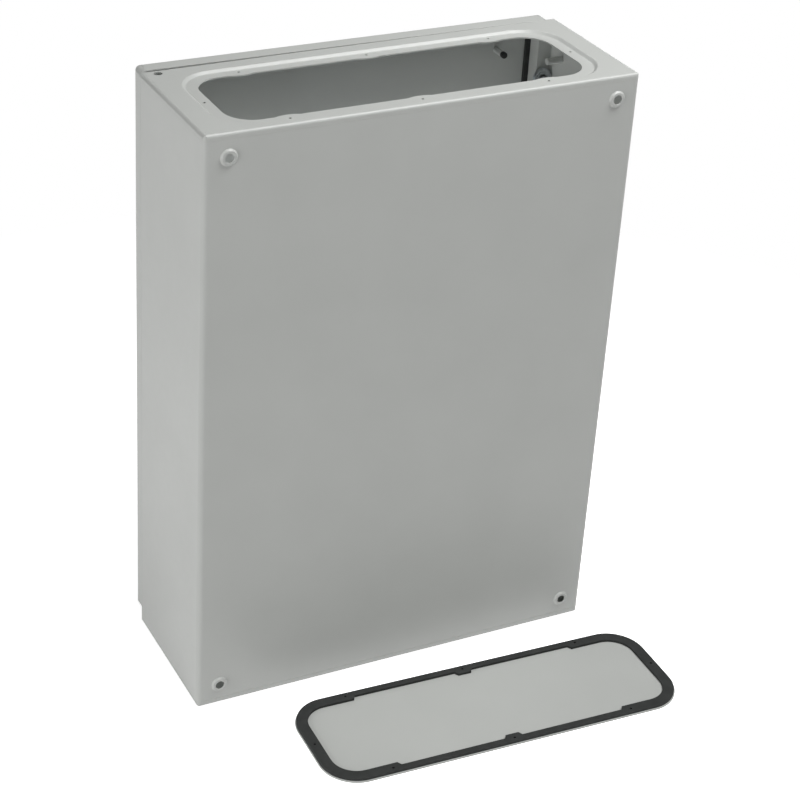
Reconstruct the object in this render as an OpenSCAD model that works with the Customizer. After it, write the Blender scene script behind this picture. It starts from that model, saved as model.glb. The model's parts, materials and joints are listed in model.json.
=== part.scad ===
// Wall enclosure of folded sheet steel with a hinged door, stood on its roof wall.
// Millimetres. +Y points to the wall it hangs on, +Z to the wall with the gland opening.
// The origin is the centre of the four wall-fixing holes, on the seats of their bosses.

/* [Body] */
// Width of the body
body_w = 500; // [420:5:640]
// Height of the body
body_h = 700; // [600:5:900]
// Depth of the body, from the rear panel to the front rim
body_d = 178.5; // [165:0.5:260]
// Thickness of the body and door sheet
sheet_t = 1.5; // [1.2:0.1:2]
// Outer radius of the two bends between rear panel and side walls
side_bend_r = 6; // [4:0.5:8]
// Outer radius of the bends at the two end walls
end_bend_r = 3.5; // [2.5:0.5:6]
// Outer radius of the bends at the front rim
front_bend_r = 3; // [2.5:0.5:4]
// Outer radius of the corners between side walls and end walls
corner_r = 5; // [3:0.5:7]
// Height of the folded edge of each end wall, down to its weld
seam_h = 7; // [6.5:0.5:12]

/* [Wall fixing] */
// Distance from each side face to the wall-fixing holes
fixing_side = 27; // [20:0.5:60]
// Distance from each end face to the wall-fixing holes
fixing_end = 26.5; // [20:0.5:60]
// Diameter of each wall-fixing hole
fixing_hole_d = 10; // [8:0.5:11]
// Diameter of each raised boss at its foot
boss_d = 19; // [18:0.5:24]
// Diameter of each boss's flat seat
boss_seat_d = 15.5; // [14:0.5:17]
// Height of each boss above the rear panel
boss_h = 2.5; // [1.5:0.5:4]

/* [Front rim] */
// Width of the rim that is folded inwards
rim_w = 18; // [17.5:0.5:24]
// Height of the sealing lip that stands forward of the rim
lip_h = 16; // [8:0.5:16.5]
// Outer corner radius of the sealing lip
lip_corner_r = 6; // [4:0.5:10]

/* [Gland wall] */
// Distance from each side face to the gland opening's end
opening_side = 43; // [43:1:70]
// Depth of the gland opening
opening_d = 119; // [95:1:120]
// Corner radius of the gland opening
opening_r = 31; // [20:1:40]
// Distance from the rear panel to the middle of the gland opening
opening_back = 86; // [82:1:86]
// Width of the recess beyond each end of the opening
recess_end = 17; // [15:0.5:21]
// Width of the recess beyond each long edge of the opening
recess_side = 15.5; // [14:0.5:16.5]
// Corner radius of the recess
recess_r = 45; // [40:1:50]
// Drop of the recess below the wall
recess_drop = 3; // [1:0.5:3]
// Width of the sloping step around the recess
step_w = 5; // [2:0.5:5]
// Distance from each end of the opening out to its end screw
screw_end = 7.5; // [6:0.5:9]
// Distance from each long edge of the opening out to its row of screws
screw_side = 6.5; // [6:0.5:8]
// Distance from the opening's end to the outer screws of a row
screw_first = 58; // [50:1:80]
// Diameter of each screw hole in the gland wall
screw_hole_d = 3.3; // [3:0.1:5]
// Depth of the three shallow tabs along each long edge
tab_depth = 2.5; // [2:0.5:5]
// Radius of each shallow tab
tab_r = 40; // [30:1:60]
// Diameter of the breather hole beside the opening
breather_d = 9.5; // [7:0.5:11]
// Distance from the side wall's face to the breather hole
breather_side = 17.5; // [14:0.5:22]
// Distance from the front rim's face to the breather hole
breather_front = 9.5; // [9:0.5:12]

/* [Mounting plate] */
// Distance from each side face to the mounting plate's edge
plate_side = 40; // [36:1:75]
// Distance from each end face to the mounting plate's edge
plate_end = 40; // [36:1:90]
// Thickness of the mounting plate
plate_t = 2; // [1.5:0.5:3]
// Corner radius of the mounting plate
plate_r = 8; // [3:1:12]
// Distance from the plate's edge to each stud
plate_stud_inset = 15; // [12:1:30]
// Length of the collar that holds the plate off the rear panel
plate_collar_h = 12; // [8:1:20]
// Diameter of the collar
plate_collar_d = 15; // [13:0.5:18]
// Thread diameter of the plate studs
plate_stud_d = 8; // [6:0.5:9]
// Length of the thread beyond the collar
plate_thread_l = 18; // [14:1:25]

/* [Interior fittings] */
// Diameter of the four studs on the side walls
side_stud_d = 8; // [8:0.5:12]
// Length of each side-wall stud
side_stud_l = 20; // [12:1:30]
// Distance from the front rim's face to each side-wall stud
side_stud_front = 24; // [22:1:34]
// Distance from the end wall's face to each side-wall stud
side_stud_end = 41; // [36:1:46]
// Thread diameter of the earthing stud
earth_d = 8; // [6:0.5:10]
// Length of the earthing stud
earth_l = 24; // [20:1:30]
// Distance from the rear panel to the earthing stud
earth_back = 72; // [60:1:90]
// Distance from the gland wall's face to the earthing stud
earth_end = 72; // [60:1:90]

/* [Door] */
// Gap between the front rim and the closed door
door_gap = 2.4; // [2:0.1:3]
// Depth of the door's flanges, outside
door_d = 19.3; // [19:0.1:22]
// Step from the body's side faces in to the door's flanges
door_side_reveal = 5; // [2.5:0.5:5]
// Step from the gland wall's face to the door's flange
door_gland_reveal = 2; // [1:0.5:4]
// Step from the roof wall's face to the door's flange
door_roof_reveal = 6; // [2:0.5:8]
// Outer radius of the bends around the door's face
door_bend_r = 3; // [2.5:0.5:5]
// Outer radius of the door's corners
door_corner_r = 8; // [4:0.5:8]
// Angle at which the unlatched door stands open
door_ajar = 0.6; // [0.3:0.1:0.7]
// Width of the foamed gasket
gasket_w = 12; // [9:0.5:16]
// Part of the gasket's width that lies outside the lip
gasket_over = 5; // [1:0.5:6]
// Inner corner radius of the gasket
gasket_inner_r = 5; // [3:0.5:10]
// Clearance between the gasket and the lip when the door is closed
gasket_gap = 0.3; // [0.2:0.1:0.5]
// Distance from the body's side face to each door stud
door_stud_side = 62; // [50:0.5:90]
// Distance from the body's end face to each door stud
door_stud_end = 37.5; // [34:0.5:60]
// Diameter of each door stud
door_stud_d = 7; // [5:0.5:8]
// Length of each door stud
door_stud_l = 16; // [14:1:22]
// Diameter of the cap on each door stud
stud_cap_d = 7.5; // [7:0.5:11]
// Length of the cap on each door stud
stud_cap_l = 5.5; // [5:0.5:12]

/* [Hinges] */
// Distance from the end faces to the middle of each hinge
hinge_end = 75; // [60:1:120]
// Distance from the body's side face in to the hinge pin
pin_side = 8; // [8:0.1:8.2]
// Distance from the front rim's face out to the hinge pin
pin_front = 11.3; // [11.2:0.1:11.4]
// Diameter of the hinge pin
pin_d = 4; // [3:0.1:4.2]
// Running clearance on the radius of the pin
pin_clear = 0.05; // [0.02:0.01:0.09]
// Outer radius of the hinge knuckles
knuckle_r = 3.2; // [3:0.05:3.2]
// Length of the door's knuckle
knuckle_l = 24; // [18:1:30]
// Thickness of each ear of the bracket
ear_t = 4; // [3:0.5:6]
// Gap between ear and knuckle
ear_gap = 0.4; // [0.3:0.1:0.6]
// Thickness of the bracket's foot
foot_t = 2; // [1.5:0.5:2.5]
// Distance between the two screws of a bracket
hinge_screw_pitch = 14; // [13:0.5:14]
// Thread diameter of the bracket screws
hinge_screw_d = 5; // [4:0.5:5]

/* [Locks] */
// Distance from the middle of the door up and down to each lock
lock_z = 200; // [150:5:230]
// Distance from the body's side face to the lock's axis
lock_side = 46; // [44:0.5:56]
// Diameter of the lock's barrel
barrel_d = 20; // [18:0.5:22]
// Diameter of the lock's outer collar
collar_d = 27; // [25:0.5:32]
// Height of the outer collar above the door
collar_h = 2.4; // [1.5:0.1:4]
// Diameter of the turning rotor
rotor_d = 12; // [11:0.5:14]
// Running clearance on the radius of the rotor
rotor_clear = 0.05; // [0.02:0.01:0.09]
// Width across the flats of the lock's nut
lock_nut_af = 24; // [23:0.5:27]
// Length of the cam from the lock's axis to its tip
cam_l = 38; // [36:0.5:39]
// Width of the cam
cam_w = 14; // [12:0.5:16]
// Thickness of the cam
cam_t = 3; // [2:0.5:3]
// Clearance between the locked cam and the rim of the closed body
cam_gap = 5.7; // [5.7:0.1:7]

/* [Loose gland plate] */
// Thickness of the gland plate
cover_t = 2; // [1.5:0.5:3]
// Gap between the gland plate and the recess it fits, all round
cover_gap = 2; // [0.5:0.5:2]
// Thickness of the gland plate's gasket
cover_gasket_t = 3; // [2:0.5:4]
// Step from the gland plate's edge in to the gasket
cover_gasket_inset = 1.2; // [0.5:0.1:2]
// Width of the gasket at its ends and tabs
cover_gasket_wide = 13; // [12:0.5:18]
// Width of the gasket between its tabs
cover_gasket_narrow = 8; // [6:0.5:12]
// Distance from the wall-fixing seats to the middle of the loose plate
cover_y = 118; // [90:1:200]
// Sideways place of the loose plate's middle
cover_x = -59; // [-100:1:100]
// Turn of the loose plate on the floor
cover_turn = -2; // [-10:0.5:10]

/* [Hidden] */
$fn = 64;

// Body
rear_y = -boss_h;
front_y = rear_y - body_d;
side_x = body_w / 2;
end_z = body_h / 2;
rear_inner_y = rear_y - sheet_t;
side_inner_x = side_x - sheet_t;
fixing_x = side_x - fixing_side;
fixing_z = end_z - fixing_end;
cut = 1;

// Front rim and lip
lip_w = body_w - 2 * rim_w;
lip_height = body_h - 2 * rim_w;
lip_y = front_y - lip_h;
rim_slice = front_bend_r + 1;

// Gland wall
opening_w = body_w - 2 * opening_side;
opening_y = rear_y - opening_back;
recess_w = opening_w + 2 * recess_end;
recess_d = opening_d + 2 * recess_side;
screw_end_x = opening_w / 2 + screw_end;
screw_row_y = opening_d / 2 + screw_side;
screw_pitch = opening_w / 2 - screw_first;
floor_z = end_z - recess_drop;
step_parts = 8;
step_curve = [for (i = [0:step_parts])
  [-step_w * i / step_parts, -recess_drop * (1 - cos(180 * i / step_parts)) / 2]];
breather_x = side_x - breather_side;
breather_y = front_y + breather_front;

// Mounting plate
plate_w = body_w - 2 * plate_side;
plate_h = body_h - 2 * plate_end;
plate_back_y = rear_inner_y - plate_collar_h;
plate_front_y = plate_back_y - plate_t;
plate_stud_x = plate_w / 2 - plate_stud_inset;
plate_stud_z = plate_h / 2 - plate_stud_inset;
plate_hole_d = plate_stud_d + 0.6;
washer_t = 1.6;
nut_clear = 0.1;

// Interior fittings
side_stud_y = front_y + side_stud_front;
side_stud_z = end_z - side_stud_end;
side_stud_chamfer = 0.8;
earth_y = rear_y - earth_back;
earth_z = end_z - earth_end;

// Door, in its closed place
door_back_y = front_y - door_gap;
door_front_y = door_back_y - door_d;
door_inner_y = door_front_y + sheet_t;
door_x = side_x - door_side_reveal;
door_top_z = end_z - door_gland_reveal;
door_bottom_z = -end_z + door_roof_reveal;
door_mid_z = (door_top_z + door_bottom_z) / 2;
door_height = door_top_z - door_bottom_z;
gasket_outer_w = lip_w + 2 * gasket_over;
gasket_outer_h = lip_height + 2 * gasket_over;
door_stud_x = side_x - door_stud_side;
door_stud_z = end_z - door_stud_end;

// Hinges
pin_x = -side_x + pin_side;
pin_y = front_y - pin_front;
hinge_z = end_z - hinge_end;
pin_r = pin_d / 2;
web_x = -door_x + door_bend_r;
bracket_half = knuckle_l / 2 + ear_gap + ear_t;
notch_half = bracket_half + 2.6;
foot_x0 = -side_x + 3.5;
foot_x1 = -side_x + rim_w - 1;
hinge_screw_x = -side_x + 12.8;
hinge_head_r = hinge_screw_d * 0.84;
hinge_head_h = hinge_screw_d * 0.56;
hinge_nut_af = hinge_screw_d * 1.6;
hinge_nut_h = hinge_screw_d * 0.8;
hinge_washer_t = 1;
hinge_washer_r = hinge_screw_d * 1.2;
hinge_screw_over = 4;
pin_head_h = 1.6;

// Locks
lock_x = side_x - lock_side;
cam_front_y = front_y + sheet_t + cam_gap;
cam_back_y = cam_front_y + cam_t;
collar_y = door_front_y - collar_h;
barrel_end_y = cam_front_y - 1;
lock_nut_h = 5;
rotor_flange_t = 0.7;
rotor_flange_r = rotor_d / 2 + 1;
key_slot_w = 3;
key_slot_l = 9;
key_depth = 9;
shank_w = 8;
shank_clear = 0.1;
cam_screw_d = 4;
cam_screw_l = 9;
cam_head_af = 10;
cam_head_h = 3;

// Loose gland plate
cover_w = recess_w - 2 * cover_gap;
cover_d = recess_d - 2 * cover_gap;
cover_r = recess_r - cover_gap;
cover_hole_d = screw_hole_d + 1.1;
seal_w = cover_w - 2 * cover_gasket_inset;
seal_d = cover_d - 2 * cover_gasket_inset;
seal_r = cover_r - cover_gasket_inset;
seal_hole_d = screw_hole_d - 0.4;
seal_tab_half = 8;
seal_tab_slope = 3;

paint = "#c3c7c4";
paint_inside = "#aeb2af";
zinc = "#c9ccd0";
foam = "#26282a";
galvanised = "#b4babd";
die_cast = "#8d9194";

// ---- shared shapes ----

// Rectangle with round corners, centred
module rounded_rect(w, h, r) {
  square([w - 2 * r, h], center = true);
  square([w, h - 2 * r], center = true);
  for (sx = [-1, 1], sy = [-1, 1])
    translate([sx * (w / 2 - r), sy * (h / 2 - r)]) circle(r);
}

// Rectangle from y = 0 back to y = -d, with one radius at y = 0 and one at y = -d
module two_radius_rect(w, d, r_near, r_far) {
  translate([-w / 2 + r_near, -d]) square([w - 2 * r_near, d]);
  translate([-w / 2, -d + r_far]) square([w, d - r_near - r_far]);
  translate([-w / 2 + r_far, -d]) square([w - 2 * r_far, r_far]);
  for (s = [-1, 1]) {
    translate([s * (w / 2 - r_near), -r_near]) circle(r_near);
    translate([s * (w / 2 - r_far), -d + r_far]) circle(r_far);
  }
}

// Closed box from y = 0 to y = -d whose edges are all bends
module folded_box(w, d, h, side_r, end_r, far_r, edge_r) {
  intersection() {
    translate([0, 0, -h / 2]) linear_extrude(h) two_radius_rect(w, d, side_r, far_r);
    rotate([0, 90, 0]) translate([0, 0, -w / 2]) linear_extrude(w)
      two_radius_rect(h, d, end_r, far_r);
    rotate([90, 0, 0]) linear_extrude(d) rounded_rect(w, h, edge_r);
  }
}

// Box given by its two corners
module span(a, b) {
  translate(a) cube([b[0] - a[0], b[1] - a[1], b[2] - a[2]]);
}

// Round bar along Y, from y0 to the lower y1
module bar_y(x, y0, y1, z, r) {
  translate([x, y0, z]) rotate([90, 0, 0]) cylinder(r = r, h = y0 - y1);
}

// Sweeps a profile round a rounded rectangle; the profile's x runs outwards from it
module sweep_round(w, h, r) {
  for (s = [0, 1]) rotate(180 * s) {
    translate([w / 2, h / 2 - r, 0]) rotate([90, 0, 0]) linear_extrude(h - 2 * r) children();
    translate([w / 2 - r, h / 2, 0]) rotate([90, 0, 90]) translate([0, 0, -(w - 2 * r)])
      linear_extrude(w - 2 * r) children();
    translate([w / 2 - r, h / 2 - r, 0]) rotate_extrude(angle = 90) translate([r, 0]) children();
    translate([-w / 2 + r, h / 2 - r, 0]) rotate([0, 0, 90]) rotate_extrude(angle = 90)
      translate([r, 0]) children();
  }
}

// Hexagonal bar along Y, from y0 to the lower y1
module hex_y(x, y0, y1, z, af) {
  translate([x, y0, z]) rotate([90, 0, 0]) cylinder(d = af / cos(30), h = y0 - y1, $fn = 6);
}

// Hexagonal nut along Y whose high face is at y0
module nut_y(x, y0, z, af, h, bore_r) {
  difference() {
    hex_y(x, y0, y0 - h, z, af);
    bar_y(x, y0 + cut, y0 - h - cut, z, bore_r);
  }
}

// Puts children at the four places (+-x, +-z)
module four(x, z) {
  for (sx = [-1, 1], sz = [-1, 1]) translate([sx * x, 0, sz * z]) children();
}

// Turns children with the unlatched door about the hinge pins
module on_door() {
  translate([pin_x, pin_y, 0]) rotate(-door_ajar) translate([-pin_x, -pin_y, 0]) children();
}

// ---- body ----

// Folded sheet of the whole body, with its front window but no holes
module body_sheet() {
  difference() {
    translate([0, rear_y, 0])
      folded_box(body_w, body_d, body_h, side_bend_r, end_bend_r, front_bend_r, corner_r);
    translate([0, rear_inner_y, 0])
      folded_box(body_w - 2 * sheet_t, body_d - 2 * sheet_t, body_h - 2 * sheet_t,
        side_bend_r - sheet_t, end_bend_r - sheet_t, front_bend_r - sheet_t, corner_r - sheet_t);
    translate([0, front_y + sheet_t + cut, 0]) rotate([90, 0, 0])
      linear_extrude(sheet_t + 2 * cut) rounded_rect(lip_w, lip_height, lip_corner_r);
  }
}

// Raised boss around one wall-fixing hole, hollow behind
module fixing_boss() {
  rotate([-90, 0, 0]) translate([0, 0, -boss_h]) rotate_extrude() difference() {
    polygon([[fixing_hole_d / 2, 0], [boss_d / 2, 0], [boss_seat_d / 2, boss_h],
      [fixing_hole_d / 2, boss_h]]);
    polygon([[0, -cut], [boss_d / 2 - sheet_t, -cut], [boss_d / 2 - sheet_t, 0],
      [boss_seat_d / 2 - sheet_t, boss_h - sheet_t], [0, boss_h - sheet_t]]);
  }
}

// Rear panel and side walls, folded from one sheet
module body_shell() {
  color(paint) {
    difference() {
      intersection() {
        body_sheet();
        span([-body_w, front_y + rim_slice, -end_z + seam_h], [body_w, cut, end_z - seam_h]);
      }
      four(fixing_x, fixing_z)
        bar_y(0, rear_y + cut, rear_inner_y - cut, 0, boss_d / 2 - sheet_t);
    }
    four(fixing_x, fixing_z) fixing_boss();
  }
}

// Outline of the gland opening, with its shallow tabs
module opening_outline() {
  difference() {
    rounded_rect(opening_w, opening_d, opening_r);
    for (i = [-1:1], s = [-1, 1])
      translate([i * screw_pitch, s * (opening_d / 2 - tab_depth + tab_r)]) circle(tab_r, $fn = 128);
  }
}

// Centres of the eight gland-plate screws
module at_screws() {
  for (s = [-1, 1]) {
    for (i = [-1:1]) translate([i * screw_pitch, s * screw_row_y]) children();
    translate([s * screw_end_x, 0]) children();
  }
}

// End wall with the recessed gland opening
module gland_wall() {
  color(paint) {
    difference() {
      intersection() {
        body_sheet();
        span([-body_w, front_y + rim_slice, end_z - seam_h], [body_w, cut, end_z + cut]);
      }
      translate([0, opening_y, end_z - sheet_t - cut]) linear_extrude(sheet_t + 2 * cut)
        rounded_rect(recess_w, recess_d, recess_r);
      translate([breather_x, breather_y, end_z - sheet_t - cut])
        cylinder(d = breather_d, h = sheet_t + 2 * cut);
    }
    translate([0, opening_y, end_z]) sweep_round(recess_w, recess_d, recess_r)
      polygon(concat(step_curve, [for (i = [step_parts:-1:0]) step_curve[i] - [0, sheet_t]]));
    translate([0, opening_y, floor_z - sheet_t]) linear_extrude(sheet_t) difference() {
      rounded_rect(recess_w - 2 * step_w, recess_d - 2 * step_w, recess_r - step_w);
      opening_outline();
      at_screws() circle(d = screw_hole_d);
    }
  }
}

// End wall that is the roof when the enclosure hangs on its wall
module roof_wall() {
  color(paint) intersection() {
    body_sheet();
    span([-body_w, front_y + rim_slice, -end_z - cut], [body_w, cut, -end_z + seam_h]);
  }
}

// Folded rim around the front, with its sealing lip
module front_rim() {
  color(paint) {
    difference() {
      intersection() {
        body_sheet();
        span([-body_w, front_y - cut, -body_h], [body_w, front_y + rim_slice, body_h]);
      }
      at_hinge_screws() bar_y(0, sheet_t + cut, -cut, 0, hinge_screw_d / 2 + nut_clear);
    }
    translate([0, front_y + sheet_t, 0]) rotate([90, 0, 0]) linear_extrude(sheet_t + lip_h)
      difference() {
        rounded_rect(lip_w, lip_height, lip_corner_r);
        rounded_rect(lip_w - 2 * sheet_t, lip_height - 2 * sheet_t, lip_corner_r - sheet_t);
      }
  }
}

// ---- mounting plate and fittings ----

// Four welded studs whose collars carry the mounting plate
module plate_studs() {
  color(zinc) four(plate_stud_x, plate_stud_z) {
    bar_y(0, rear_inner_y, plate_back_y, 0, plate_collar_d / 2);
    bar_y(0, plate_back_y, plate_back_y - plate_thread_l, 0, plate_stud_d / 2);
  }
}

// Flat plate that carries the equipment
module mounting_plate() {
  color(galvanised) difference() {
    translate([0, plate_back_y, 0]) rotate([90, 0, 0]) linear_extrude(plate_t)
      rounded_rect(plate_w, plate_h, plate_r);
    four(plate_stud_x, plate_stud_z)
      bar_y(0, plate_back_y + cut, plate_front_y - cut, 0, plate_hole_d / 2);
  }
}

module plate_washers() {
  color(zinc) four(plate_stud_x, plate_stud_z) difference() {
    bar_y(0, plate_front_y, plate_front_y - washer_t, 0, plate_stud_d);
    bar_y(0, plate_front_y + cut, plate_front_y - washer_t - cut, 0, plate_stud_d / 2 + nut_clear);
  }
}

module plate_nuts() {
  color(zinc) four(plate_stud_x, plate_stud_z)
    nut_y(0, plate_front_y - washer_t, 0, plate_stud_d * 1.6, plate_stud_d * 0.8,
      plate_stud_d / 2 + nut_clear);
}

// Plain studs welded to the side walls, with chamfered ends
module side_studs() {
  color(paint_inside) for (sx = [-1, 1], sz = [-1, 1])
    translate([sx * side_inner_x, side_stud_y, sz * side_stud_z]) rotate([0, -90 * sx, 0]) {
      cylinder(d = side_stud_d, h = side_stud_l - side_stud_chamfer);
      translate([0, 0, side_stud_l - side_stud_chamfer])
        cylinder(d1 = side_stud_d, d2 = side_stud_d - 2 * side_stud_chamfer, h = side_stud_chamfer);
    }
}

// Puts children on the earthing stud's axis, which runs in from the side wall
module on_earth(offset) {
  translate([side_inner_x - offset, earth_y, earth_z]) rotate([0, -90, 0]) children();
}

module earth_stud() {
  color(zinc) on_earth(0) {
    cylinder(d = earth_d * 1.5, h = 2);
    cylinder(d = earth_d, h = earth_l);
  }
}

module earth_washer() {
  color(zinc) on_earth(2) difference() {
    cylinder(d = earth_d * 2, h = washer_t);
    translate([0, 0, -cut]) cylinder(d = earth_d + 2 * nut_clear, h = washer_t + 2 * cut);
  }
}

module earth_nut() {
  color(zinc) on_earth(2 + washer_t) difference() {
    cylinder(d = earth_d * 1.6 / cos(30), h = earth_d * 0.8, $fn = 6);
    translate([0, 0, -cut]) cylinder(d = earth_d + 2 * nut_clear, h = earth_d + 2 * cut);
  }
}

// ---- hinges ----

// Puts children at the middle of each hinge
module at_hinges() {
  for (s = [-1, 1]) translate([0, 0, s * hinge_z]) children();
}

// Puts children on the axis of each bracket screw, at the rim's front face
module at_hinge_screws() {
  at_hinges() for (s = [-1, 1])
    translate([hinge_screw_x, front_y, s * hinge_screw_pitch / 2]) children();
}

// Brackets screwed to the front rim, each with two ears for the pin
module hinge_brackets() {
  color(zinc) at_hinges() difference() {
    union() {
      span([foot_x0, front_y - foot_t, -bracket_half], [foot_x1, front_y, bracket_half]);
      for (s = [-1, 1]) translate([0, 0, s * (bracket_half - ear_t / 2)]) {
        span([pin_x - knuckle_r, pin_y, -ear_t / 2], [pin_x + knuckle_r, front_y - foot_t, ear_t / 2]);
        translate([pin_x, pin_y, -ear_t / 2]) cylinder(r = knuckle_r, h = ear_t);
      }
    }
    translate([pin_x, pin_y, -bracket_half - cut]) cylinder(r = pin_r, h = 2 * (bracket_half + cut));
    for (s = [-1, 1])
      bar_y(hinge_screw_x, front_y + cut, front_y - foot_t - cut, s * hinge_screw_pitch / 2,
        hinge_screw_d / 2 + nut_clear);
  }
}

module hinge_screws() {
  color(zinc) at_hinge_screws() {
    bar_y(0, -foot_t, -foot_t - hinge_head_h, 0, hinge_head_r);
    bar_y(0, sheet_t + hinge_washer_t + hinge_nut_h + hinge_screw_over, -foot_t, 0, hinge_screw_d / 2);
  }
}

module hinge_washers() {
  color(zinc) at_hinge_screws() difference() {
    bar_y(0, sheet_t + hinge_washer_t, sheet_t, 0, hinge_washer_r);
    bar_y(0, sheet_t + hinge_washer_t + cut, sheet_t - cut, 0, hinge_screw_d / 2 + nut_clear);
  }
}

module hinge_nuts() {
  color(zinc) at_hinge_screws()
    nut_y(0, sheet_t + hinge_washer_t + hinge_nut_h, 0, hinge_nut_af, hinge_nut_h,
      hinge_screw_d / 2 + nut_clear);
}

module hinge_pins() {
  color(zinc) at_hinges() translate([pin_x, pin_y, 0]) {
    translate([0, 0, -bracket_half]) cylinder(r = pin_r, h = 2 * bracket_half);
    translate([0, 0, bracket_half]) cylinder(r = knuckle_r, h = pin_head_h);
  }
}

// ---- door ----

// Folded sheet of the door, with notches for the hinges and holes for the locks
module door_pan() {
  color(paint) on_door() difference() {
    translate([0, door_front_y, door_mid_z]) rotate([0, 0, 180])
      folded_box(2 * door_x, door_d, door_height, door_bend_r, door_bend_r, 0.2, door_corner_r);
    translate([0, door_inner_y, door_mid_z]) rotate([0, 0, 180])
      folded_box(2 * (door_x - sheet_t), door_d, door_height - 2 * sheet_t,
        door_bend_r - sheet_t, door_bend_r - sheet_t, 0.2, door_corner_r - sheet_t);
    at_hinges() span([-side_x, door_inner_y, -notch_half], [-door_x + sheet_t + 0.2, front_y, notch_half]);
    at_locks() bar_y(0, door_inner_y + cut, door_front_y - cut, 0, barrel_d / 2 + nut_clear);
  }
}

// Knuckles welded to the inside of the door, one for each pin
module door_knuckles() {
  color(zinc) on_door() at_hinges() difference() {
    union() {
      translate([pin_x, pin_y, -knuckle_l / 2]) cylinder(r = knuckle_r, h = knuckle_l);
      span([web_x, door_inner_y, -knuckle_l / 2], [pin_x + knuckle_r, pin_y, knuckle_l / 2]);
    }
    translate([pin_x, pin_y, -knuckle_l / 2 - cut])
      cylinder(r = pin_r + pin_clear, h = knuckle_l + 2 * cut);
  }
}

// Foamed gasket that the lip of the front rim presses into
module door_gasket() {
  color(foam) on_door()
    translate([0, lip_y - gasket_gap, 0]) rotate([90, 0, 0])
      linear_extrude(lip_y - gasket_gap - door_inner_y) difference() {
        rounded_rect(gasket_outer_w, gasket_outer_h, lip_corner_r + gasket_over);
        rounded_rect(gasket_outer_w - 2 * gasket_w, gasket_outer_h - 2 * gasket_w, gasket_inner_r);
      }
}

module door_studs() {
  color(paint_inside) on_door() four(door_stud_x, door_stud_z)
    bar_y(0, door_inner_y + door_stud_l, door_inner_y, 0, door_stud_d / 2);
}

// Protective caps on the threads of the door studs
module door_stud_caps() {
  color(foam) on_door() four(door_stud_x, door_stud_z)
    bar_y(0, door_inner_y + door_stud_l + stud_cap_l, door_inner_y + door_stud_l, 0, stud_cap_d / 2);
}

// ---- locks ----

// Puts children at each lock
module at_locks() {
  for (s = [-1, 1]) translate([lock_x, 0, s * lock_z]) children();
}

// Barrels with a round collar outside the door
module lock_barrels() {
  color(die_cast) on_door() at_locks() translate([0, barrel_end_y, 0]) rotate([90, 0, 0])
    rotate_extrude() difference() {
      polygon([[0, 0], [barrel_d / 2, 0], [barrel_d / 2, barrel_end_y - door_front_y],
        [collar_d / 2, barrel_end_y - door_front_y], [collar_d / 2, barrel_end_y - collar_y - 0.8],
        [collar_d / 2 - 1.2, barrel_end_y - collar_y], [0, barrel_end_y - collar_y]]);
      square([rotor_d / 2 + rotor_clear, barrel_end_y - collar_y + cut]);
      translate([0, barrel_end_y - collar_y - rotor_flange_t])
        square([rotor_flange_r + rotor_clear, rotor_flange_t + cut]);
    }
}

module lock_nuts() {
  color(zinc) on_door() at_locks()
    nut_y(0, door_inner_y + lock_nut_h, 0, lock_nut_af, lock_nut_h, barrel_d / 2 + nut_clear);
}

// Rotor with a slotted key hole and a square shank for the cam
module rotor(z) {
  color(die_cast) on_door() translate([lock_x, 0, z]) difference() {
    union() {
      bar_y(0, barrel_end_y, collar_y, 0, rotor_d / 2);
      bar_y(0, collar_y + rotor_flange_t, collar_y, 0, rotor_flange_r);
      translate([-shank_w / 2, barrel_end_y, -shank_w / 2])
        cube([shank_w, cam_back_y - barrel_end_y, shank_w]);
    }
    translate([-key_slot_l / 2, collar_y - cut, -key_slot_w / 2])
      cube([key_slot_l, key_depth + cut, key_slot_w]);
    bar_y(0, collar_y + key_depth, collar_y - cut, 0, key_slot_l / 3);
    bar_y(0, cam_back_y + cut, cam_back_y - cam_screw_l, 0, cam_screw_d / 2 + rotor_clear);
  }
}

// Cam that turns behind the front rim; at rest it hangs along the door, unlocked
module cam(z) {
  color(zinc) on_door() translate([lock_x, cam_back_y, z]) rotate([90, 0, 0])
    linear_extrude(cam_t) difference() {
      union() {
        circle(d = cam_w + 4);
        translate([-cam_w / 2, -cam_l + cam_w / 2]) square([cam_w, cam_l - cam_w / 2]);
        translate([0, -cam_l + cam_w / 2]) circle(d = cam_w);
      }
      square(shank_w + 2 * shank_clear, center = true);
    }
}

module cam_screw(z) {
  color(zinc) on_door() {
    hex_y(lock_x, cam_back_y + cam_head_h, cam_back_y, z, cam_head_af);
    bar_y(lock_x, cam_back_y, cam_back_y - cam_screw_l + 1, z, cam_screw_d / 2);
  }
}

module upper_rotor() { rotor(lock_z); }
module upper_cam() { cam(lock_z); }
module upper_cam_screw() { cam_screw(lock_z); }
module lower_rotor() { rotor(-lock_z); }
module lower_cam() { cam(-lock_z); }
module lower_cam_screw() { cam_screw(-lock_z); }

// ---- loose gland plate ----

// Puts children on the floor behind the body
module on_floor(lift) {
  translate([cover_x, cover_y, -end_z + lift]) rotate(cover_turn) children();
}

// Gland plate, taken off and laid down with its gasket up
module gland_plate() {
  color(paint) on_floor(0) linear_extrude(cover_t) difference() {
    rounded_rect(cover_w, cover_d, cover_r);
    at_screws() circle(d = cover_hole_d);
  }
}

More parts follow.
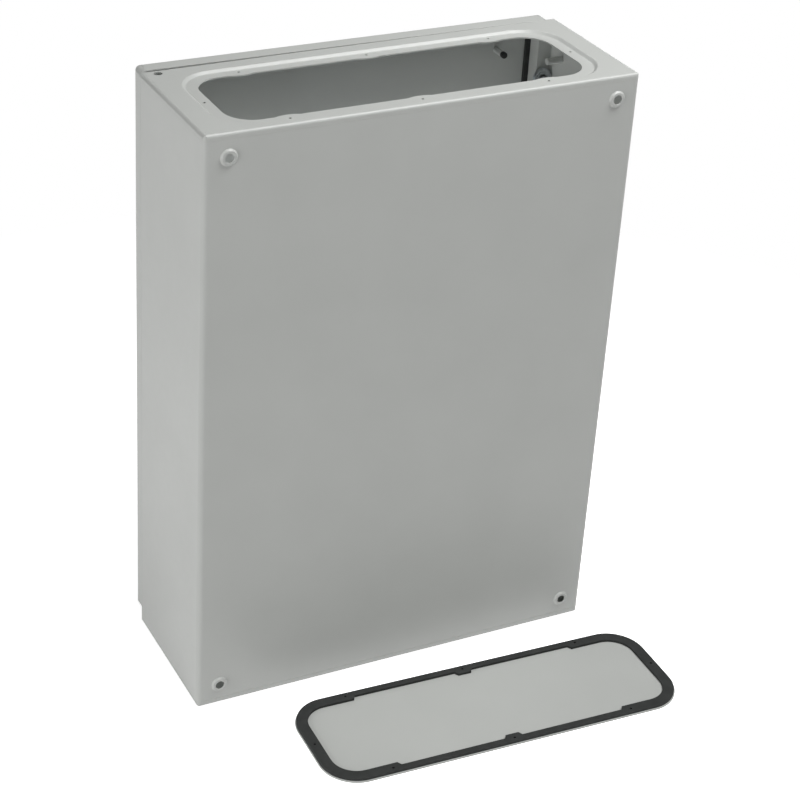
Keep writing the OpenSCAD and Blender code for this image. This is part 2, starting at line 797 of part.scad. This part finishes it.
// Flat gasket, wide at the ends and tabs and narrow between them
module gland_gasket() {
  slot_half = seal_d / 2 - cover_gasket_narrow;
  inner_half = seal_d / 2 - cover_gasket_wide;
  color(foam) on_floor(cover_t) linear_extrude(cover_gasket_t) difference() {
    rounded_rect(seal_w, seal_d, seal_r);
    rounded_rect(seal_w - 2 * cover_gasket_wide, 2 * inner_half, seal_r - cover_gasket_wide);
    for (s = [-1, 1], t = [-1, 1]) scale([s, t])
      polygon([[seal_tab_half, 0], [screw_pitch - seal_tab_half, 0],
        [screw_pitch - seal_tab_half, inner_half], [screw_pitch - seal_tab_half - seal_tab_slope, slot_half],
        [seal_tab_half + seal_tab_slope, slot_half], [seal_tab_half, inner_half]]);
    at_screws() circle(d = seal_hole_d);
  }
}

body_shell();
gland_wall();
roof_wall();
front_rim();
plate_studs();
mounting_plate();
plate_washers();
plate_nuts();
side_studs();
earth_stud();
earth_washer();
earth_nut();
hinge_brackets();
hinge_screws();
hinge_washers();
hinge_nuts();
hinge_pins();
door_pan();
door_knuckles();
door_gasket();
door_studs();
door_stud_caps();
lock_barrels();
lock_nuts();
upper_rotor();
upper_cam();
upper_cam_screw();
lower_rotor();
lower_cam();
lower_cam_screw();
gland_plate();
gland_gasket();
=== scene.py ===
import json
import math

import bmesh
import bpy
from mathutils import Matrix, Vector


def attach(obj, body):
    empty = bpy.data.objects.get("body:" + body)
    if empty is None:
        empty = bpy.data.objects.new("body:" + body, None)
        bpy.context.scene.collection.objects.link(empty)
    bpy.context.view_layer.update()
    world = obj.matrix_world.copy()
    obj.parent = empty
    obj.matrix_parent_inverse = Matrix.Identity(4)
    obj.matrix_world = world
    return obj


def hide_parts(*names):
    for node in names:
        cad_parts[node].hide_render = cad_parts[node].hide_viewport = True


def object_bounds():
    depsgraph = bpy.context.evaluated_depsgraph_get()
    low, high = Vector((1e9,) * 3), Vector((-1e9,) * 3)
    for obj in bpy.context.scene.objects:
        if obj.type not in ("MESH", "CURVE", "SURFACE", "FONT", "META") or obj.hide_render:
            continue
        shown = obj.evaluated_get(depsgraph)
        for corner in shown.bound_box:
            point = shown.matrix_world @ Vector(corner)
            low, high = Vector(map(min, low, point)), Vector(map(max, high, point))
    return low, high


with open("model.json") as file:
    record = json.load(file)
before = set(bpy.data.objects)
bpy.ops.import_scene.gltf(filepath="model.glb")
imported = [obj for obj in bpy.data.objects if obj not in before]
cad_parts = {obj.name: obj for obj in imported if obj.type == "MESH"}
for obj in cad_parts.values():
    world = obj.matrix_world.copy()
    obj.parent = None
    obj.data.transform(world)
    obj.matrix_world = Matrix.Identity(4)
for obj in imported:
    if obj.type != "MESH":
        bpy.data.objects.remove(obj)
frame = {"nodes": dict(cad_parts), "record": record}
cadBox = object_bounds()
record = frame["record"]

mm = 0.001
bodyOf = {node: body for body, nodes in record["behaviour"]["bodies"].items() for node in nodes}


def linear(hexColour):
    # sRGB hex to the linear values that sockets take
    parts = [int(hexColour[i:i + 2], 16) / 255 for i in (1, 3, 5)]
    return [c / 12.92 if c <= 0.04045 else ((c + 0.055) / 1.055) ** 2.4 for c in parts] + [1.0]


def addNode(tree, kind, inputs=None, **settings):
    # one node with its settings; an input takes a value or another node's output
    node = tree.nodes.new(kind)
    for name, value in settings.items():
        setattr(node, name, value)
    for name, value in (inputs or {}).items():
        if isinstance(value, bpy.types.NodeSocket):
            tree.links.new(value, node.inputs[name])
        else:
            node.inputs[name].default_value = value
    return node


def startMaterial(name):
    material = bpy.data.materials.new(name)
    material.use_nodes = True
    material.node_tree.nodes.clear()
    place = addNode(material.node_tree, "ShaderNodeTexCoord").outputs["Object"]
    return material, material.node_tree, place


def endMaterial(material, tree, shader):
    addNode(tree, "ShaderNodeOutputMaterial", {"Surface": shader})
    return material


def toneRamp(tree, factor, stops):
    # colour ramp through a few hex colours
    ramp = addNode(tree, "ShaderNodeValToRGB", {"Fac": factor})
    elements = ramp.color_ramp.elements
    for i, (position, hexColour) in enumerate(stops):
        element = elements[i] if i < 2 else elements.new(position)
        element.position = position
        element.color = linear(hexColour)
    return ramp.outputs["Color"]


def grain(tree, place, sizeMm, detail=2.0, roughness=0.5):
    # noise whose blotches are about sizeMm across
    return addNode(tree, "ShaderNodeTexNoise", {
        "Vector": place, "Scale": 1 / (sizeMm * mm), "Detail": detail, "Roughness": roughness}).outputs["Fac"]


def spread(tree, value, low, high, fromLow=0.3, fromHigh=0.7):
    return addNode(tree, "ShaderNodeMapRange", {
        "Value": value, "From Min": fromLow, "From Max": fromHigh,
        "To Min": low, "To Max": high}).outputs["Result"]


powderCoat = {
    "tones": [(0.0, "#b3b5b2"), (1.0, "#b6b8b5")],  # light grey
    "blotchMm": 90,     # slow drift of the tone over a panel
    "peelMm": 2.2,      # orange peel, drawn coarser than the real 1 mm so that it shows
    "peelDepthMm": 0.012,
    "roughness": (0.40, 0.44),
}


def makePowderCoat(name="polyesterPowderCoat", values=powderCoat):
    # sprayed and baked polyester powder: an even semi-matt grey skin with a faint orange peel
    material, tree, place = startMaterial(name)
    tone = toneRamp(tree, spread(tree, grain(tree, place, values["blotchMm"]), 0, 1), values["tones"])
    peel = grain(tree, place, values["peelMm"], detail=1.0)
    bump = addNode(tree, "ShaderNodeBump", {
        "Height": peel, "Strength": 0.5, "Distance": values["peelDepthMm"] * mm}).outputs["Normal"]
    rough = spread(tree, grain(tree, place, 9), *values["roughness"])
    shader = addNode(tree, "ShaderNodeBsdfPrincipled", {
        "Base Color": tone, "Roughness": rough, "Normal": bump, "IOR": 1.5})
    return endMaterial(material, tree, shader.outputs["BSDF"])


def makeZincPlate():
    # bright zinc-plated steel: silvery, a little blue, with faint turning marks and dull spots
    material, tree, place = startMaterial("zincPlatedSteel")
    spots = grain(tree, place, 3, detail=4)
    tone = toneRamp(tree, spots, [(0.3, "#a9adb2"), (0.7, "#c6c9cb")])
    rough = spread(tree, spots, 0.24, 0.42)
    bump = addNode(tree, "ShaderNodeBump", {
        "Height": grain(tree, place, 0.8), "Strength": 0.3, "Distance": 0.01 * mm}).outputs["Normal"]
    shader = addNode(tree, "ShaderNodeBsdfPrincipled", {
        "Base Color": tone, "Metallic": 1.0, "Roughness": rough, "Normal": bump})
    return endMaterial(material, tree, shader.outputs["BSDF"])


def makeGalvanisedSheet():
    # hot-dip galvanised sheet: grey metal with spangles a few millimetres across
    material, tree, place = startMaterial("galvanisedSheet")
    spangle = addNode(tree, "ShaderNodeTexVoronoi", {"Vector": place, "Scale": 110.0})
    shade = addNode(tree, "ShaderNodeSeparateColor", {"Color": spangle.outputs["Color"]}).outputs["Red"]
    tone = toneRamp(tree, shade, [(0.0, "#9ba1a4"), (1.0, "#b9bec0")])
    rough = spread(tree, shade, 0.38, 0.5, 0, 1)
    shader = addNode(tree, "ShaderNodeBsdfPrincipled", {
        "Base Color": tone, "Metallic": 1.0, "Roughness": rough})
    return endMaterial(material, tree, shader.outputs["BSDF"])


def makeFoam():
    # foamed polyurethane seal: dull near-black with a fine open skin
    material, tree, place = startMaterial("foamedPolyurethane")
    cells = addNode(tree, "ShaderNodeTexVoronoi", {"Vector": place, "Scale": 900.0}).outputs["Distance"]
    tone = toneRamp(tree, grain(tree, place, 14, detail=3), [(0.3, "#292b2a"), (0.7, "#323433")])
    bump = addNode(tree, "ShaderNodeBump", {
        "Height": cells, "Strength": 0.5, "Distance": 0.1 * mm}).outputs["Normal"]
    shader = addNode(tree, "ShaderNodeBsdfPrincipled", {
        "Base Color": tone, "Roughness": 0.85, "IOR": 1.45, "Normal": bump})
    return endMaterial(material, tree, shader.outputs["BSDF"])


def makeCapPolyethylene():
    # moulded black polyethylene cap: soft sheen, slight mould grain
    material, tree, place = startMaterial("mouldedPolyethylene")
    tone = toneRamp(tree, grain(tree, place, 4), [(0.3, "#131414"), (0.7, "#1b1c1c")])
    bump = addNode(tree, "ShaderNodeBump", {
        "Height": grain(tree, place, 0.6), "Strength": 0.3, "Distance": 0.02 * mm}).outputs["Normal"]
    shader = addNode(tree, "ShaderNodeBsdfPrincipled", {
        "Base Color": tone, "Roughness": 0.42, "IOR": 1.51, "Normal": bump})
    return endMaterial(material, tree, shader.outputs["BSDF"])


def makeNickelDieCast():
    # nickel-plated zinc die casting: warm grey metal, satin, with a soft cast grain
    material, tree, place = startMaterial("nickelPlatedDieCast")
    tone = toneRamp(tree, grain(tree, place, 5), [(0.3, "#a8a6a1"), (0.7, "#b7b5b0")])
    bump = addNode(tree, "ShaderNodeBump", {
        "Height": grain(tree, place, 0.7), "Strength": 0.3, "Distance": 0.015 * mm}).outputs["Normal"]
    shader = addNode(tree, "ShaderNodeBsdfPrincipled", {
        "Base Color": tone, "Metallic": 1.0, "Roughness": 0.3, "Normal": bump})
    return endMaterial(material, tree, shader.outputs["BSDF"])


finishes = {
    "paint": makePowderCoat(),
    "zinc": makeZincPlate(),
    "galvanised": makeGalvanisedSheet(),
    "foam": makeFoam(),
    "cap_plastic": makeCapPolyethylene(),
    "die_cast": makeNickelDieCast(),
}
slotOf = {part["node"]: part["material_slot"] for part in record["subparts"]}
for nodeName, cadObject in frame["nodes"].items():
    cadObject.data.materials.clear()
    cadObject.data.materials.append(finishes[slotOf[nodeName]])
print("materials:", len(finishes))


def finishPiece(piece, node):
    # the piece stands for a CAD node, with that node's body and finish
    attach(piece, bodyOf[node])
    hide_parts(node)
    return piece


def roundedCopy(node, edgeMm, segments=2):
    # the CAD node again, merged and smooth on its bends, with its cut edges broken
    mesh = frame["nodes"][node].data.copy()
    mesh.name = node + "Mesh"
    work = bmesh.new()
    work.from_mesh(mesh)
    bmesh.ops.remove_doubles(work, verts=work.verts, dist=2e-6)
    bmesh.ops.dissolve_limit(work, angle_limit=math.radians(0.3), verts=work.verts, edges=work.edges,
                             use_dissolve_boundaries=False)
    work.to_mesh(mesh)
    work.free()
    for polygon in mesh.polygons:
        polygon.use_smooth = True
    piece = bpy.data.objects.new(node + "Dressed", mesh)
    bpy.context.scene.collection.objects.link(piece)
    bevel = piece.modifiers.new("brokenEdges", "BEVEL")
    bevel.width = edgeMm * mm
    bevel.segments = segments
    bevel.limit_method = "ANGLE"
    bevel.angle_limit = math.radians(32)
    bevel.harden_normals = False
    bevel.use_clamp_overlap = True
    even = piece.modifiers.new("evenNormals", "WEIGHTED_NORMAL")
    even.mode = "FACE_AREA"
    even.weight = 80
    even.keep_sharp = True
    return finishPiece(piece, node)


edgeRounding = {  # radius of the broken edges, mm
    "body_shell": 0.35, "gland_wall": 0.35, "roof_wall": 0.35, "front_rim": 0.35,
    "door_pan": 0.35, "gland_plate": 0.3, "gland_gasket": 1.1, "mounting_plate": 0.3,
    "lock_barrels": 0.3, "hinge_brackets": 0.4, "door_knuckles": 0.3,
    "door_studs": 0.3, "door_stud_caps": 0.9, "side_studs": 0.3, "lock_nuts": 0.3,
    "upper_cam": 0.4, "lower_cam": 0.4, "plate_washers": 0.2, "hinge_washers": 0.2,
}
for nodeName, radius in edgeRounding.items():
    roundedCopy(nodeName, radius)
print("rounded copies:", len(edgeRounding))


threadForm = {"ridge": 0.3, "root": 1.25, "ridgeSides": 5, "stepsPerTurn": 20, "shaftSides": 28}
nutForm = {"faceShare": 0.95, "coneSides": 40, "boreSides": 28}


def startTree(name, sizes):
    # a geometry tree: places in, a turn, a material and the named sizes
    tree = bpy.data.node_groups.new(name, "GeometryNodeTree")
    face = tree.interface
    face.new_socket("Geometry", in_out="OUTPUT", socket_type="NodeSocketGeometry")
    face.new_socket("Geometry", in_out="INPUT", socket_type="NodeSocketGeometry")
    face.new_socket("Turn", in_out="INPUT", socket_type="NodeSocketVector")
    face.new_socket("Material", in_out="INPUT", socket_type="NodeSocketMaterial")
    for size in sizes:
        face.new_socket(size, in_out="INPUT", socket_type="NodeSocketFloat")
    return tree, addNode(tree, "NodeGroupInput").outputs


def endTree(tree, given, shape):
    # one copy of the shape at each place, turned, made real and given its material
    copies = addNode(tree, "GeometryNodeInstanceOnPoints", {
        "Points": given["Geometry"], "Instance": shape, "Rotation": given["Turn"]})
    real = addNode(tree, "GeometryNodeRealizeInstances", {"Geometry": copies.outputs["Instances"]})
    painted = addNode(tree, "GeometryNodeSetMaterial", {
        "Geometry": real.outputs["Geometry"], "Material": given["Material"]})
    addNode(tree, "NodeGroupOutput", {"Geometry": painted.outputs["Geometry"]})
    return tree


def reckon(tree, operation, first, second):
    return addNode(tree, "ShaderNodeMath", {0: first, 1: second}, operation=operation).outputs["Value"]


def cylinderOn(tree, base, radius, length, sides):
    # a cylinder along Z that starts at the height called base
    shape = addNode(tree, "GeometryNodeMeshCylinder", {
        "Vertices": sides, "Radius": radius, "Depth": length}).outputs["Mesh"]
    middle = reckon(tree, "ADD", reckon(tree, "MULTIPLY", length, 0.5), base)
    lift = addNode(tree, "ShaderNodeCombineXYZ", {"Z": middle}).outputs["Vector"]
    return addNode(tree, "GeometryNodeTransform", {"Geometry": shape, "Translation": lift}).outputs["Geometry"]


def makeThreadTree():
    # a plain shoulder along Z, then a shaft with a helical thread
    tree, given = startTree("threadedShaft", ["Shoulder Radius", "Shoulder Length", "Recess", "Radius", "Length",
                                              "Pitch"])
    ridge = reckon(tree, "MULTIPLY", given["Pitch"], threadForm["ridge"])
    helixRadius = reckon(tree, "SUBTRACT", given["Radius"], ridge)
    run = reckon(tree, "SUBTRACT", given["Length"], given["Pitch"])
    helix = addNode(tree, "GeometryNodeCurveSpiral", {
        "Resolution": threadForm["stepsPerTurn"], "Rotations": reckon(tree, "DIVIDE", run, given["Pitch"]),
        "Start Radius": helixRadius, "End Radius": helixRadius, "Height": run}).outputs["Curve"]
    section = addNode(tree, "GeometryNodeCurvePrimitiveCircle", {
        "Resolution": threadForm["ridgeSides"], "Radius": ridge}).outputs["Curve"]
    thread = addNode(tree, "GeometryNodeCurveToMesh", {
        "Curve": helix, "Profile Curve": section, "Fill Caps": True}).outputs["Mesh"]
    start = reckon(tree, "ADD", given["Shoulder Length"], reckon(tree, "MULTIPLY", given["Pitch"], 0.5))
    lift = addNode(tree, "ShaderNodeCombineXYZ", {"Z": start}).outputs["Vector"]
    thread = addNode(tree, "GeometryNodeTransform", {"Geometry": thread, "Translation": lift}).outputs["Geometry"]
    smooth = addNode(tree, "GeometryNodeSetShadeSmooth", {"Geometry": thread}).outputs["Geometry"]
    rootRadius = reckon(tree, "SUBTRACT", given["Radius"], reckon(tree, "MULTIPLY", ridge, threadForm["root"]))
    core = cylinderOn(tree, given["Shoulder Length"], rootRadius, given["Length"], threadForm["shaftSides"])
    shoulder = cylinderOn(tree, 0.0, given["Shoulder Radius"], given["Shoulder Length"], threadForm["shaftSides"])
    recessDepth = reckon(tree, "MULTIPLY", given["Recess"], 1.0)
    recess = cylinderOn(tree, reckon(tree, "MULTIPLY", recessDepth, -0.4), given["Recess"], recessDepth, 6)
    head = addNode(tree, "GeometryNodeMeshBoolean", {"Mesh 1": shoulder, "Mesh 2": recess},
                   operation="DIFFERENCE").outputs["Mesh"]
    joined = addNode(tree, "GeometryNodeJoinGeometry")
    for part in (smooth, core, head):
        tree.links.new(part, joined.inputs["Geometry"])
    return endTree(tree, given, joined.outputs["Geometry"])


def makeNutTree():
    # a hexagon along Z, both faces chamfered at 30 degrees by cones, with its bore
    tree, given = startTree("chamferedNut", ["Corner Radius", "Height", "Bore"])
    hexagon = addNode(tree, "GeometryNodeMeshCylinder", {
        "Vertices": 6, "Radius": given["Corner Radius"], "Depth": given["Height"]}).outputs["Mesh"]
    faceRadius = reckon(tree, "MULTIPLY", given["Corner Radius"], nutForm["faceShare"] * math.cos(math.radians(30)))
    wideRadius = reckon(tree, "ADD", faceRadius,
                        reckon(tree, "MULTIPLY", given["Height"], 1 / math.tan(math.radians(30))))
    chamfered = addNode(tree, "GeometryNodeMeshBoolean", operation="INTERSECT")
    tree.links.new(hexagon, chamfered.inputs["Mesh 2"])
    for flip in (0.0, math.pi):
        cone = addNode(tree, "GeometryNodeMeshCone", {
            "Vertices": nutForm["coneSides"], "Radius Top": faceRadius, "Radius Bottom": wideRadius,
            "Depth": given["Height"]}).outputs["Mesh"]
        centred = addNode(tree, "GeometryNodeTransform", {
            "Geometry": cone, "Translation": addNode(tree, "ShaderNodeCombineXYZ", {
                "Z": reckon(tree, "MULTIPLY", given["Height"], -0.5)}).outputs["Vector"]}).outputs["Geometry"]
        turned = addNode(tree, "GeometryNodeTransform", {
            "Geometry": centred, "Rotation": (flip, 0.0, 0.0)}).outputs["Geometry"]
        tree.links.new(turned, chamfered.inputs["Mesh 2"])
    bore = addNode(tree, "GeometryNodeMeshCylinder", {
        "Vertices": nutForm["boreSides"], "Radius": given["Bore"],
        "Depth": reckon(tree, "MULTIPLY", given["Height"], 2.0)}).outputs["Mesh"]
    nut = addNode(tree, "GeometryNodeMeshBoolean", {"Mesh 1": chamfered.outputs["Mesh"], "Mesh 2": bore},
                  operation="DIFFERENCE").outputs["Mesh"]
    return endTree(tree, given, nut)


def growPiece(node, tree, places, direction, sizes):
    # the tree's copies at these places as one plain mesh that stands for the CAD node
    mesh = bpy.data.meshes.new(node + "Places")
    mesh.from_pydata(places, [], [])
    carrier = bpy.data.objects.new(node + "Grown", mesh)
    bpy.context.scene.collection.objects.link(carrier)
    values = {"Turn": Vector(direction).to_track_quat("Z", "Y").to_euler(),
              "Material": finishes[slotOf[node]], **sizes}
    grower = carrier.modifiers.new("grower", "NODES")
    grower.node_group = tree
    for socket in tree.interface.items_tree:
        if socket.in_out == "INPUT" and socket.name in values:
            grower[socket.identifier] = values[socket.name]
    evaluated = carrier.evaluated_get(bpy.context.evaluated_depsgraph_get())
    grownMesh = bpy.data.meshes.new_from_object(evaluated)
    carrier.modifiers.remove(grower)
    carrier.data = grownMesh
    return finishPiece(carrier, node)


def solidsOf(node):
    # the separate solids of a CAD node, each as its list of points
    work = bmesh.new()
    work.from_mesh(frame["nodes"][node].data)
    bmesh.ops.remove_doubles(work, verts=work.verts, dist=2e-6)
    left = set(work.verts)
    solids = []
    while left:
        group, front = [], [left.pop()]
        while front:
            vertex = front.pop()
            group.append(vertex.co.copy())
            for edge in vertex.link_edges:
                other = edge.other_vert(vertex)
                if other in left:
                    left.remove(other)
                    front.append(other)
        solids.append(group)
    work.free()
    return solids


def measured(points, direction):
    # the solid's axis point, its levels along the direction, and the radii found at each level
    axis = Vector(direction)
    across = [p - p.dot(axis) * axis for p in points]
    middle = Vector([(min(p[i] for p in across) + max(p[i] for p in across)) / 2 for i in range(3)])
    radiiAt = {}
    for point, flat in zip(points, across):
        radiiAt.setdefault(round(point.dot(axis) / mm, 2) * mm, []).append((flat - middle).length)
    return middle, dict(sorted(radiiAt.items()))


threadedShafts = {  # the way each shaft points from its shoulder, thread pitch and socket radius in mm
    "plate_studs": {"direction": (0, -1, 0), "pitch": 1.25, "recess": 0},
    "earth_stud": {"direction": (-1, 0, 0), "pitch": 1.25, "recess": 0},
    "hinge_screws": {"direction": (0, 1, 0), "pitch": 0.8, "recess": 1.7},
}
threadTree = makeThreadTree()
for nodeName, shaft in threadedShafts.items():
    shafts = [measured(points, shaft["direction"]) for points in solidsOf(nodeName)]
    levels = list(shafts[0][1])
    radiiAt = shafts[0][1]
    places = [tuple(middle + levels[0] * Vector(shaft["direction"])) for middle, _ in shafts]
    growPiece(nodeName, threadTree, places, shaft["direction"], {
        "Shoulder Radius": max(radiiAt[levels[0]]), "Shoulder Length": levels[1] - levels[0],
        "Recess": shaft["recess"] * mm, "Radius": max(radiiAt[levels[-1]]),
        "Length": levels[-1] - levels[1], "Pitch": shaft["pitch"] * mm})

nutTree = makeNutTree()
nutDirections = {"plate_nuts": (0, 1, 0), "hinge_nuts": (0, 1, 0), "earth_nut": (1, 0, 0)}
for nodeName, direction in nutDirections.items():
    nuts = [measured(points, direction) for points in solidsOf(nodeName)]
    levels = list(nuts[0][1])
    radii = nuts[0][1][levels[0]]
    places = [tuple(middle + (levels[0] + levels[-1]) / 2 * Vector(direction)) for middle, _ in nuts]
    growPiece(nodeName, nutTree, places, direction, {
        "Corner Radius": max(radii), "Height": levels[-1] - levels[0], "Bore": min(radii)})
print("threads and nuts:", len(threadedShafts) + len(nutDirections))


floorPlan = {"size": 12.0, "level": cadBox[0][2], "glow": 0.79, "fadeFrom": 0.6, "fadeTo": 1.3}


def makeFloorPaper():
    # seamless white paper: a dull diffuse sheet, near white to the camera and plain white further off
    material, tree, place = startMaterial("seamlessPaper")
    tone = toneRamp(tree, grain(tree, place, 40), [(0.3, "#f0f0f0"), (0.7, "#f4f4f4")])
    paper = addNode(tree, "ShaderNodeBsdfDiffuse", {"Color": tone}).outputs["BSDF"]
    glow = addNode(tree, "ShaderNodeEmission", {"Strength": floorPlan["glow"]}).outputs["Emission"]
    near = addNode(tree, "ShaderNodeAddShader", {0: paper, 1: glow}).outputs["Shader"]
    distance = addNode(tree, "ShaderNodeVectorMath", {0: place}, operation="LENGTH").outputs["Value"]
    away = spread(tree, distance, 0, 1, floorPlan["fadeFrom"], floorPlan["fadeTo"])
    white = addNode(tree, "ShaderNodeEmission", {"Strength": 1.0}).outputs["Emission"]
    lit = addNode(tree, "ShaderNodeMixShader", {0: away, 1: near, 2: white}).outputs["Shader"]
    rays = addNode(tree, "ShaderNodeLightPath")
    seen = addNode(tree, "ShaderNodeMath", {
        0: rays.outputs["Is Camera Ray"], 1: rays.outputs["Is Glossy Ray"]}, operation="MAXIMUM")
    shader = addNode(tree, "ShaderNodeMixShader", {0: seen.outputs["Value"], 1: paper, 2: lit})
    return endMaterial(material, tree, shader.outputs["Shader"])


floorMesh = bpy.data.meshes.new("floor")
half = floorPlan["size"] / 2
floorMesh.from_pydata([(x, y, floorPlan["level"]) for x, y in ((-half, -half), (half, -half), (half, half),
                                                                 (-half, half))], [], [(0, 1, 2, 3)])
floor = bpy.data.objects.new("floor", floorMesh)
floorMesh.materials.append(makeFloorPaper())
bpy.context.scene.collection.objects.link(floor)

world = bpy.data.worlds.new("studio")
world.use_nodes = True
world.node_tree.nodes.clear()
bpy.context.scene.world = world
studio = {"shade": "#ffffff", "strength": 0.09}
sky = world.node_tree
roomLight = addNode(sky, "ShaderNodeBackground", {"Color": linear(studio["shade"]),
                                                  "Strength": studio["strength"]})
whiteWall = addNode(sky, "ShaderNodeBackground", {"Color": linear("#ffffff"), "Strength": 1.0})
skyRays = addNode(sky, "ShaderNodeLightPath")
seenSky = addNode(sky, "ShaderNodeMath", {0: skyRays.outputs["Is Camera Ray"],
                                          1: skyRays.outputs["Is Transmission Ray"]}, operation="MAXIMUM")
skyMix = addNode(sky, "ShaderNodeMixShader", {0: seenSky.outputs["Value"], 1: roomLight.outputs["Background"],
                                              2: whiteWall.outputs["Background"]})
addNode(sky, "ShaderNodeOutputWorld", {"Surface": skyMix.outputs["Shader"]})

softboxes = {  # place and aim in metres, size in metres, power in watts
    "topSoftbox": {"place": (-0.75, 0.35, 1.9), "aim": (0, -0.1, 0.2), "size": 1.1, "power": 42},
    "sideSoftbox": {"place": (2.4, 0.6, 0.3), "aim": (0, -0.1, 0), "size": 1.4, "power": 32},
    "behindSoftbox": {"place": (-0.1, 1.6, 1.9), "aim": (0, -0.1, 0.1), "size": 1.0, "power": 6},
    "insideFill": {"place": (0, -0.09, -0.12), "aim": (0, -0.1, 0.35), "size": 0.1, "power": 0.8},
}
for lampName, lamp in softboxes.items():
    light = bpy.data.lights.new(lampName, "AREA")
    light.energy = lamp["power"]
    light.size = lamp["size"]
    holder = bpy.data.objects.new(lampName, light)
    holder.location = lamp["place"]
    holder.rotation_euler = (Vector(lamp["aim"]) - Vector(lamp["place"])).to_track_quat("-Z", "Y").to_euler()
    holder.visible_camera = False
    bpy.context.scene.collection.objects.link(holder)

cameraPlan = {
    "place": (0.9681, 1.7411, 1.1558),
    "forward": (-0.37647, -0.79062, -0.4829),
    "right": (-0.9101, 0.41305, 0.03326),
    "lens": 94.5,
    "shift": (0.125, -0.0625),
}
forward = Vector(cameraPlan["forward"]).normalized()
right = Vector(cameraPlan["right"])
right = (right - right.dot(forward) * forward).normalized()
up = right.cross(forward)
cameraData = bpy.data.cameras.new("camera")
cameraData.lens = cameraPlan["lens"]
cameraData.sensor_width = 36
cameraData.shift_x, cameraData.shift_y = cameraPlan["shift"]
camera = bpy.data.objects.new("camera", cameraData)
camera.matrix_world = Matrix.Translation(cameraPlan["place"]) @ Matrix((right, up, -forward)).transposed().to_4x4()
bpy.context.scene.collection.objects.link(camera)
bpy.context.scene.camera = camera
bpy.context.scene.view_settings.view_transform = "Standard"
print("floor, lights and camera placed")
